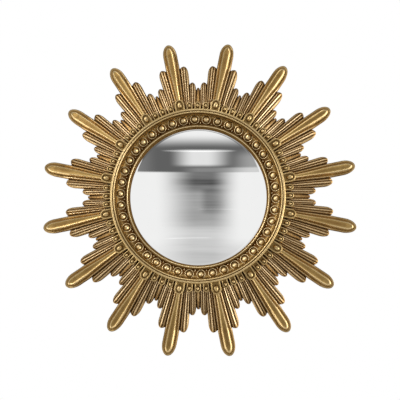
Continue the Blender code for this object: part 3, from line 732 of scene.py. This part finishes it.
def add_balls(angles, radius, depth, sizes, rings, segments):
    """Ellipsoids at several angles, with their half sizes across, along the radius and forward."""
    lift = np.radians(np.linspace(-90.0, 90.0, rings + 1))
    turn = np.radians(np.arange(segments) * 360.0 / segments)
    across = sizes[0] * np.cos(lift)[:, None] * np.cos(turn)[None, :]
    out = radius + sizes[1] * np.cos(lift)[:, None] * np.sin(turn)[None, :]
    forward = depth + sizes[2] * np.sin(lift)[:, None] + 0.0 * across
    wear = 0.30 + 0.36 * smooth(-0.1, 0.9, np.sin(lift))[:, None] + 0.0 * across
    faces = [grid_faces(closed_index(*across.shape))]
    return set_round(angles, across, out, forward, wear, faces)


def build_cups(material):
    """The ring of 64 horseshoe cups around balls: 16 large ones on the long rays, 48 small ones."""
    large = HALF_GROUP * (1 + 2 * np.arange(GROUPS))
    small = np.concatenate([large - CUP_STEP, large + CUP_STEP, large - HALF_GROUP])
    parts = [
        add_cups(large, cup_shape(7.5, 0.608 * REACH, 34.5, 32.0, 1.2)),
        add_balls(large, 0.572 * REACH, 31.2, (3.9, 6.0, 4.8), 12, 24),
        add_cups(small, cup_shape(4.8, 0.586 * REACH, 32.5, 30.2, 1.1)),
        add_balls(small, 0.562 * REACH, 30.2, (2.4, 3.6, 3.8), 10, 20),
    ]
    points, faces, wear = joined(parts)
    item = add_mesh("cup_ring", points, faces, wear, merge=0.000002)
    finish_piece(item, material, ["frame"], 42.0)


def build_beads(sizes, material):
    """Turned beads in the channel, each a dome, a dark groove and a thin collar.

    Each is turned about its own axis, radius = profile's, and then sheared forward by the slope
    of the channel's floor times the distance out from the row. Small darts fill the corners
    between neighbouring collars, outside and inside the row.
    """
    dome = sizes.bead_radius / MM
    collar = sizes.collar_radius / MM
    profile = half_round((0, 14, 28, 42, 56, 70, 82), 0.0, 26.6, dome, 4.6, 0.30, 0.70, power=1)
    profile += [(dome + 0.12, 26.4, 0.02), (collar - 0.9, 26.3, 0.0)]
    profile += half_round((-60, -25, 0, 25, 60), collar, 26.9, 0.8, 1.05, 0.55, 0.45, power=1)
    profile += [(collar + 0.9, 26.3, 0.2), (collar + 0.9, 22.5, 0.0), (0.0, 22.5, 0.0)]
    profile = np.array(profile)
    turn = np.radians(np.arange(BEAD_SEGMENTS) * 360.0 / BEAD_SEGMENTS)
    across = profile[:, :1] * np.cos(turn)[None, :]
    out = BEAD_ROW + profile[:, :1] * np.sin(turn)[None, :]
    depth = profile[:, 1:2] + CHANNEL_SLOPE * (out - BEAD_ROW)
    # Each bead and collar is up to a fifth darker on the side towards the mirror's middle: painted shade
    wear = profile[:, 2:3] * (0.90 + 0.10 * np.sin(turn))[None, :]
    angles = FIRST_BEAD + np.arange(sizes.bead_count) * 360.0 / sizes.bead_count
    parts = [set_round(angles, across, out, depth, wear, [grid_faces(closed_index(*across.shape))])]

    between = angles + 180.0 / sizes.bead_count
    for side in (1.0, -1.0):
        middle = BEAD_ROW + side * 5.2
        loop_across = np.array([0.0, 1.4, 0.0, -1.4])
        loop_out = middle + np.array([-2.6, side * 0.9, 2.4, side * 0.9])
        across = np.stack([loop_across, loop_across, 0.45 * loop_across, 0.0 * loop_across])
        out = np.stack([loop_out, loop_out, ease(loop_out, middle, 0.5), 0.0 * loop_out + middle])
        depth = np.array([22.5, 26.2, 27.4, 27.7])[:, None] + CHANNEL_SLOPE * (out - BEAD_ROW)
        wear = np.array([0.0, 0.1, 0.8, 0.9])[:, None] + 0.0 * across
        index = closed_index(*across.shape)
        parts.append(set_round(between, across, out, depth, wear, [grid_faces(index), index[0, :-1]]))
    points, faces, wear = joined(parts)
    item = add_mesh("bead_row", points, faces, wear, merge=0.000002)
    finish_piece(item, material, ["frame"], 45.0)


# Glass, board and fittings

def build_glass(material):
    """Convex glass: two parallel domes 2.5 mm apart, joined by a ground edge.

    Each is a sphere of radius 441 mm, whose slope eases to about half in a narrow margin at the lip.
    """
    sphere = (GLASS_RADIUS ** 2 + GLASS_RISE ** 2) / (2.0 * GLASS_RISE)
    radii = np.concatenate([np.linspace(0.0, 100.0, 26), np.linspace(101.0, 107.0, 13),
                            [108.5, GLASS_RADIUS]])
    slope = radii / np.sqrt(sphere * sphere - radii * radii)
    slope = slope * (1.0 - 0.46 * smooth(102.0, 104.4, radii))
    drop = np.concatenate([[0.0], np.cumsum(0.5 * (slope[1:] + slope[:-1]) * np.diff(radii))])
    apex = GLASS_SEAT_DEPTH + np.interp(GLASS_SEAT_RADIUS, radii, drop)
    front = np.stack([radii, apex - drop], axis=1)
    back = np.stack([radii, apex - GLASS_THICKNESS - drop], axis=1)[::-1]
    profile = np.concatenate([front, [[GLASS_RADIUS, apex - drop[-1] - EASED_CORNER]], back])
    item = add_disc("silvered_mirror", profile)
    finish_piece(item, material, ["mirror_glass"], 40.0)


def build_board(material):
    """Backing board: a flat disc with its outer corners eased."""
    radius = BOARD_RADIUS - BOARD_GAP
    flat = radius - EASED_CORNER
    profile = [(0.0, 0.0), (0.5 * radius, 0.0), (flat, 0.0), (radius, EASED_CORNER),
               (radius, BOARD_THICKNESS - EASED_CORNER), (flat, BOARD_THICKNESS), (0.0, BOARD_THICKNESS)]
    item = add_disc("pressed_board", profile)
    finish_piece(item, material, ["backing_board"], 30.0)


def build_screw(name, side, node, material):
    """Countersunk screw over (radius, turn), with a cross recess pressed into its flat head.

    The recess is deep where the smaller of |X| and |Z| is small, and fades out along its arms.
    """
    turn = np.arange(SCREW_SEGMENTS)[None, :] * 360.0 / SCREW_SEGMENTS
    head = np.array([0.0, 0.25, 0.5, 0.75, 1.0, 1.3, 1.7, 2.2, 2.7, 2.9])[:, None] + 0.0 * turn
    arm = head * np.minimum(np.abs(np.sin(np.radians(turn))), np.abs(np.cos(np.radians(turn))))
    recess = (1.0 - smooth(0.25, 0.42, arm)) * (1.0 - smooth(1.2, 1.75, head))
    face = 0.3 + 1.1 * recess + 0.12 * smooth(2.55, 2.9, head)
    shank = np.array([(2.9, 0.6), (1.3, 2.2), (1.3, 9.6), (0.5, 10.9), (0.0, 11.0)])
    radius = np.concatenate([head, shank[:, :1] + 0.0 * turn])
    depth = np.concatenate([face, shank[:, 1:] + 0.0 * turn])
    centre = np.array([side * SCREW_X, 0.0, SCREW_Z]) * MM
    points = place(turn, radius, depth) + centre
    item = add_mesh(name, points.reshape(-1, 3), [grid_faces(closed_index(*radius.shape))])
    finish_piece(item, material, [node], 35.0)


# Materials

class Value:
    """A shader socket that can be used in Python sums."""

    def __init__(self, graph, socket):
        self.graph = graph
        self.socket = socket

    def math(self, operation, *values):
        """A Math node over some values."""
        return self.graph.add('ShaderNodeMath', {'operation': operation}, dict(enumerate(values)))

    def __add__(self, other):
        return self.math('ADD', self, other)

    def __radd__(self, other):
        return self.math('ADD', other, self)

    def __sub__(self, other):
        return self.math('SUBTRACT', self, other)

    def __rsub__(self, other):
        return self.math('SUBTRACT', other, self)

    def __mul__(self, other):
        return self.math('MULTIPLY', self, other)

    def __rmul__(self, other):
        return self.math('MULTIPLY', other, self)

    def __truediv__(self, other):
        return self.math('DIVIDE', self, other)

    def __rtruediv__(self, other):
        return self.math('DIVIDE', other, self)

    def clamp(self):
        """Keep between 0 and 1."""
        return self.math('MINIMUM', self.math('MAXIMUM', self, 0.0), 1.0)

    def step(self, low, high):
        """Smoothstep between two limits."""
        return self.graph.add('ShaderNodeMapRange', {'interpolation_type': 'SMOOTHSTEP'},
                              {'Value': self, 'From Min': low, 'From Max': high})


class Graph:
    """Adds nodes to a node tree."""

    def __init__(self, tree):
        self.tree = tree
        self.tree.nodes.clear()

    def add(self, kind, settings=None, sockets=None, output=0):
        """One node: its settings first, then the values or links of its sockets, by name or number."""
        node = self.tree.nodes.new(kind)
        for name, value in (settings or {}).items():
            setattr(node, name, value)
        for name, value in (sockets or {}).items():
            if isinstance(value, Value):
                self.tree.links.new(value.socket, node.inputs[name])
            else:
                node.inputs[name].default_value = value
        return Value(self, node.outputs[output]) if node.outputs else None

    def mix(self, share, first, second):
        """Blend two colours, each a Value or its red, green and blue."""
        first, second = (item if isinstance(item, Value) else (*item, 1.0) for item in (first, second))
        return self.add('ShaderNodeMix', {'data_type': 'RGBA'}, {0: share, 6: first, 7: second}, 2)

    def noise(self, where, scale, detail=3.0, roughness=0.55):
        """Noise texture at a scale in cycles per metre."""
        return self.add('ShaderNodeTexNoise', {}, {'Vector': where, 'Scale': scale, 'Detail': detail,
                                                   'Roughness': roughness})

    def bump(self, height, strength, distance):
        """A normal raised by a height."""
        return self.add('ShaderNodeBump', {}, {'Height': height, 'Strength': strength,
                                               'Distance': distance})


def new_material(name):
    """An empty node material, its graph and its Object coordinates."""
    material = bpy.data.materials.new(name)
    material.use_nodes = True
    graph = Graph(material.node_tree)
    return material, graph, graph.add('ShaderNodeTexCoord', output=3)


def surface(graph, sockets):
    """Finish a material with a Principled shader."""
    shader = graph.add('ShaderNodeBsdfPrincipled', {}, sockets)
    graph.add('ShaderNodeOutputMaterial', {}, {'Surface': shader})


def gilt_material(finish):
    """Antique gold: worn bright crests, brown patina in the recesses, fine cast grain.

    The wear values also carry painted highlight along the crests and painted shade at the rays'
    ends and on the beads' inner sides.
    """
    material, graph, where = new_material("antique_gilt")
    wear = graph.add('ShaderNodeAttribute', {'attribute_name': "wear"}, output=2)
    shade = graph.add('ShaderNodeAttribute', {'attribute_name': "shade"}, output=2)
    cloud = graph.noise(where, 38.0, 3.0)
    mottle = graph.noise(where, 210.0, 4.0, 0.6)
    grain = graph.noise(where, 1500.0, 3.0, 0.6)
    level = (wear + (cloud - 0.5) * 0.24 + (mottle - 0.5) * 0.07).clamp()
    golds = []
    for field, crest in ((finish.field_gold, finish.crest_gold),
                         (finish.reed_field, finish.reed_crest)):
        lower = graph.mix(level.step(0.0, 0.45), finish.recess_brown, field)
        golds.append(graph.mix(level.step(0.42, 1.0), lower, crest))
    toned = graph.mix(shade, *golds)

    # The back's paint reaches round its edge to a depth of under a millimetre
    position = graph.add('ShaderNodeSeparateXYZ', {}, {'Vector': where}, output=1)
    behind = (position / -MM).step(0.9, 0.25)
    colour = graph.mix(behind, toned, finish.back_brown)
    rough = 0.50 - level * 0.16 + (mottle - 0.5) * 0.06 + behind * 0.2
    metal = (0.86 + level * 0.12) * (1.0 - behind * 0.8)
    bump = graph.bump(grain * 0.3 + mottle * 0.5, 0.3, 0.0002)
    surface(graph, {'Base Color': colour, 'Roughness': rough, 'Metallic': metal, 'Normal': bump,
                    'Specular IOR Level': 0.3, 'Specular Tint': (0.90, 0.70, 0.44, 1.0)})
    return material


def mirror_material():
    """Silvered glass: a clear even mirror with the slightest waviness of bent sheet."""
    material, graph, where = new_material("silvered_glass")
    wave = graph.noise(where, 9.0, 1.0)
    bump = graph.bump(wave, 0.1, 0.0004)
    haze = graph.noise(where, 60.0, 3.0)
    rough = 0.025 + (haze - 0.5) * 0.01
    tint = graph.mix(haze, (0.93, 0.935, 0.93), (0.955, 0.955, 0.95))
    surface(graph, {'Base Color': tint, 'Roughness': rough, 'Metallic': 1.0, 'Normal': bump})
    return material


def board_material(finish):
    """Pressed fibreboard: felted fibres in a brown sheet."""
    material, graph, where = new_material("fibreboard")
    fibre = graph.noise(where, 700.0, 4.0, 0.7)
    cloud = graph.noise(where, 30.0, 2.0)
    dark = [0.62 * part for part in finish.board_brown]
    light = [1.35 * part for part in finish.board_brown]
    colour = graph.mix((0.7 * fibre + 0.3 * cloud).step(0.3, 0.7), dark, light)
    bump = graph.bump(fibre, 0.4, 0.0003)
    surface(graph, {'Base Color': colour, 'Roughness': 0.72 + 0.15 * fibre, 'Metallic': 0.0,
                    'Normal': bump})
    return material


def steel_material():
    """Zinc-plated steel: rolled sheet with a faint spangle and fine scratches along X."""
    material, graph, where = new_material("zinc_steel")
    stretched = graph.add('ShaderNodeMapping', {}, {'Vector': where, 'Scale': (0.08, 1.0, 1.0)})
    scratch = graph.noise(stretched, 2600.0, 2.0)
    cloud = graph.noise(where, 160.0, 2.0)
    colour = graph.mix(cloud.step(0.3, 0.7), (0.27, 0.27, 0.262), (0.35, 0.35, 0.34))
    bump = graph.bump(scratch, 0.25, 0.0001)
    surface(graph, {'Base Color': colour, 'Roughness': 0.46 + 0.14 * scratch, 'Metallic': 0.95,
                    'Normal': bump})
    return material


def floor_material():
    """Pale studio floor with a hardly visible mottle."""
    material, graph, where = new_material("studio_floor")
    cloud = graph.noise(where, 2.0, 2.0)
    colour = graph.mix(cloud, (0.86, 0.86, 0.85), (0.90, 0.90, 0.89))
    surface(graph, {'Base Color': colour, 'Roughness': 0.8, 'Metallic': 0.0})
    return material


# Stage

CAMERA_AIM = Vector((0.00235, 0.0, -0.00405))
SENSOR_WIDTH = 36.0
FLOOR_RADIUS = 1100.0
FLOOR_SEGMENTS = 96
STUDIO_LIGHT = 0.76
BACK_LIGHT = 0.36
RIGHT_GLOW = 4.0
LOW_GLOW = 2.8
LAMPS = (
    ("key_left", (-1.6, -1.4, 1.1), (0.5, 0.5), 22.0),
    ("key_top", (0.1, -1.2, 1.9), (1.2, 0.6), 12.0),
    ("side_right", (2.0, -0.6, -0.2), (0.7, 1.2), 30.0),
    ("side_left", (-2.0, -0.5, -0.1), (0.7, 1.2), 18.0),
)


def set_camera(stage):
    """The camera at the photograph's angle, which looks at the aim from its distance."""
    turn, lift = stage.azimuth, stage.elevation
    back = Vector((math.sin(turn) * math.cos(lift), -math.cos(turn) * math.cos(lift), math.sin(lift)))
    right = Vector((math.cos(turn), math.sin(turn), 0.0))
    up = back.cross(right)
    rolled_right = right * math.cos(stage.roll) + up * math.sin(stage.roll)
    rolled_up = up * math.cos(stage.roll) - right * math.sin(stage.roll)
    data = bpy.data.cameras.new("photo_camera")
    data.lens = stage.lens
    data.sensor_width = SENSOR_WIDTH
    camera = bpy.data.objects.new("photo_camera", data)
    bpy.context.scene.collection.objects.link(camera)
    matrix = Matrix((rolled_right, rolled_up, back)).transposed().to_4x4()
    matrix.translation = CAMERA_AIM + back * stage.distance
    camera.matrix_world = matrix
    bpy.context.scene.camera = camera


def add_lamp(name, where, size, power):
    """A soft rectangular white light that faces the mirror's middle."""
    data = bpy.data.lights.new(name, 'AREA')
    data.shape = 'RECTANGLE'
    data.size, data.size_y = size
    data.energy = power
    lamp = bpy.data.objects.new(name, data)
    lamp.location = where
    lamp.rotation_euler = Vector(where).to_track_quat('Z', 'Y').to_euler()
    lamp.visible_camera = False
    bpy.context.scene.collection.objects.link(lamp)


def window(value, low, high, soft_low, soft_high):
    """1 between two limits, with an edge of its own softness at each."""
    return value.step(low, low + soft_low) * (1.0 - value.step(high - soft_high, high))


def set_world():
    """Studio surroundings, white to the camera.

    In front, where the glass looks, is a pale room blurred sideways. It is a sum of soft-edged
    patches over the direction's X and Z: a bright ceiling, a grey band with a window in it, white
    walls to both sides and a soft grey column in the middle. Behind the mirror is a dimmer light
    with two bright areas, to the right and at the lower left, which light the rays' flanks.
    """
    world = bpy.data.worlds.new("studio")
    world.use_nodes = True
    bpy.context.scene.world = world
    graph = Graph(world.node_tree)
    where = graph.add('ShaderNodeTexCoord', output=0)
    x, y, z = (graph.add('ShaderNodeSeparateXYZ', {}, {'Vector': where}, output=axis)
               for axis in range(3))

    ceiling = (z + x * x * 0.08).step(0.485, 0.60)
    pane = window(x, -0.29, 0.28, 0.22, 0.25) * window(z, 0.325, 0.482, 0.035, 0.02)
    glint = window(x, -0.36, 0.30, 0.11, 0.10) * window(z, 0.455, 0.469, 0.004, 0.004)
    right_wall = x.step(0.20, 0.42) * (1.0 - z.step(0.40, 0.49))
    left_wall = 1.0 - x.step(-0.56, -0.36)
    band = 0.125 + 0.68 * pane + 0.32 * glint + 0.24 * right_wall + 0.10 * left_wall
    ledge = window(z, 0.285, 0.335, 0.01, 0.02)
    band = band + ledge * (0.13 * x.step(-0.22, -0.02) + 0.18 * x.step(0.08, 0.34))

    drawn_out = graph.add('ShaderNodeMapping', {}, {'Vector': where, 'Scale': (0.6, 0.6, 16.0)})
    streaks = graph.noise(drawn_out, 1.6, 3.0)
    column = window(x, -0.41, 0.34, 0.36, 0.27)
    core = window(x, -0.33, 0.27, 0.16, 0.14)
    depth = 0.26 + 0.28 * z.step(-0.24, -0.12) + 0.18 * z.step(0.09, 0.17)
    patch = window(z, 0.165, 0.252, 0.03, 0.04) * core * 0.10
    stripe = window(x, -0.04, 0.28, 0.09, 0.15) * window(z, -0.09, 0.16, 0.06, 0.05) * 0.15
    line = window(z, -0.036, -0.026, 0.004, 0.004) * window(x, -0.05, 0.32, 0.05, 0.12) * 0.14
    low_line = window(z, -0.283, -0.270, 0.005, 0.005) * window(x, -0.35, 0.12, 0.12, 0.12) * 0.14
    wall = 0.92 - column * (depth + (streaks - 0.5) * 0.26) - patch - stripe + line + low_line
    wall = wall - (0.09 + 0.20 * x.step(0.12, 0.42)) * (1.0 - z.step(-0.42, -0.26))

    below = 1.0 - z.step(0.280, 0.296)
    room = wall * below + (band + (0.92 - band) * ceiling) * (1.0 - below)
    ahead = (0.0 - y).step(0.58, 0.74)
    behind = y.step(-0.35, 0.10)
    right_glow = x.step(0.38, 0.56) * window(z, -0.60, 0.46, 0.22, 0.25)
    low_glow = (1.0 - x.step(-0.32, -0.18)) * (1.0 - z.step(-0.42, -0.20))
    glow = RIGHT_GLOW * right_glow + LOW_GLOW * low_glow
    around = STUDIO_LIGHT - behind * (STUDIO_LIGHT - BACK_LIGHT) + behind * glow
    light = room * ahead + around * (1.0 - ahead)
    camera_ray = graph.add('ShaderNodeLightPath', output=0)
    strength = camera_ray + (1.0 - camera_ray) * light
    shader = graph.add('ShaderNodeBackground', {}, {'Strength': strength,
                                                    'Color': (1.0, 1.0, 1.0, 1.0)})
    graph.add('ShaderNodeOutputWorld', {}, {'Surface': shader})


def build_floor(stage, material):
    """A round pale floor, well below the mirror."""
    radii = np.linspace(0.0, FLOOR_RADIUS, 9)
    turns = np.arange(FLOOR_SEGMENTS) * 360.0 / FLOOR_SEGMENTS
    points = place(turns[None, :], radii[:, None], 0.0)[..., [0, 2, 1]]
    points[..., 2] = stage.floor_height
    faces = [grid_faces(closed_index(*points.shape[:2]))]
    item = add_mesh("studio_floor", points.reshape(-1, 3), faces)
    item.data.materials.append(material)
    if item.data.polygons[0].normal.z < 0.0:
        item.data.flip_normals()


# Operators

class MIRROR_OT_stage(Operator):
    """Set the camera, the lights and the floor."""

    bl_idname = "mirror.stage"
    bl_label = "Studio"

    def execute(self, context):
        stage = context.scene.mirror_stage
        context.scene.view_settings.view_transform = 'Standard'
        set_camera(stage)
        set_world()
        build_floor(stage, floor_material())
        for lamp in LAMPS:
            add_lamp(*lamp)
        return {'FINISHED'}


class MIRROR_OT_casting(Operator):
    """Make the gilded casting: rays, ring, cups and beads."""

    bl_idname = "mirror.casting"
    bl_label = "Casting"

    def execute(self, context):
        sizes = context.scene.mirror_sizes
        gilt = gilt_material(context.scene.mirror_finish)
        build_rays(sizes, gilt)
        build_ring(gilt)
        build_cups(gilt)
        build_beads(sizes, gilt)
        return {'FINISHED'}


class MIRROR_OT_glass(Operator):
    """Make the convex silvered glass."""

    bl_idname = "mirror.glass"
    bl_label = "Glass"

    def execute(self, context):
        build_glass(mirror_material())
        return {'FINISHED'}


class MIRROR_OT_back(Operator):
    """Make the backing board, and finish the hanger plate and its screws."""

    bl_idname = "mirror.back"
    bl_label = "Back"

    def execute(self, context):
        build_board(board_material(context.scene.mirror_finish))
        steel = steel_material()
        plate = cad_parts["hanger_plate"]
        plate.data.materials.clear()
        plate.data.materials.append(steel)
        build_screw("cross_screw_left", -1, "hanger_screw_left", steel)
        build_screw("cross_screw_right", 1, "hanger_screw_right", steel)
        return {'FINISHED'}


class MIRROR_PT_panel(Panel):
    """Sizes, colours and steps of the mirror."""

    bl_idname = "MIRROR_PT_panel"
    bl_label = "Sunburst mirror"
    bl_space_type = 'VIEW_3D'
    bl_region_type = 'UI'
    bl_category = "Mirror"

    def draw(self, context):
        scene = context.scene
        for group in (scene.mirror_sizes, scene.mirror_finish, scene.mirror_stage):
            box = self.layout.box()
            for name in group.__annotations__:
                box.prop(group, name)
        for operator in (MIRROR_OT_stage, MIRROR_OT_casting, MIRROR_OT_glass, MIRROR_OT_back):
            self.layout.operator(operator.bl_idname)


CLASSES = (MirrorSizes, MirrorFinish, MirrorStage, MIRROR_OT_stage, MIRROR_OT_casting,
           MIRROR_OT_glass, MIRROR_OT_back, MIRROR_PT_panel)


def register():
    """Register the classes and the scene's settings."""
    for item in CLASSES:
        bpy.utils.register_class(item)
    bpy.types.Scene.mirror_sizes = PointerProperty(type=MirrorSizes)
    bpy.types.Scene.mirror_finish = PointerProperty(type=MirrorFinish)
    bpy.types.Scene.mirror_stage = PointerProperty(type=MirrorStage)


def unregister():
    """Undo register."""
    del bpy.types.Scene.mirror_stage
    del bpy.types.Scene.mirror_finish
    del bpy.types.Scene.mirror_sizes
    for item in reversed(CLASSES):
        bpy.utils.unregister_class(item)


def main():
    """Make every piece."""
    register()
    bpy.ops.mirror.stage()
    bpy.ops.mirror.casting()
    bpy.ops.mirror.glass()
    bpy.ops.mirror.back()


if __name__ == "__main__":
    main()
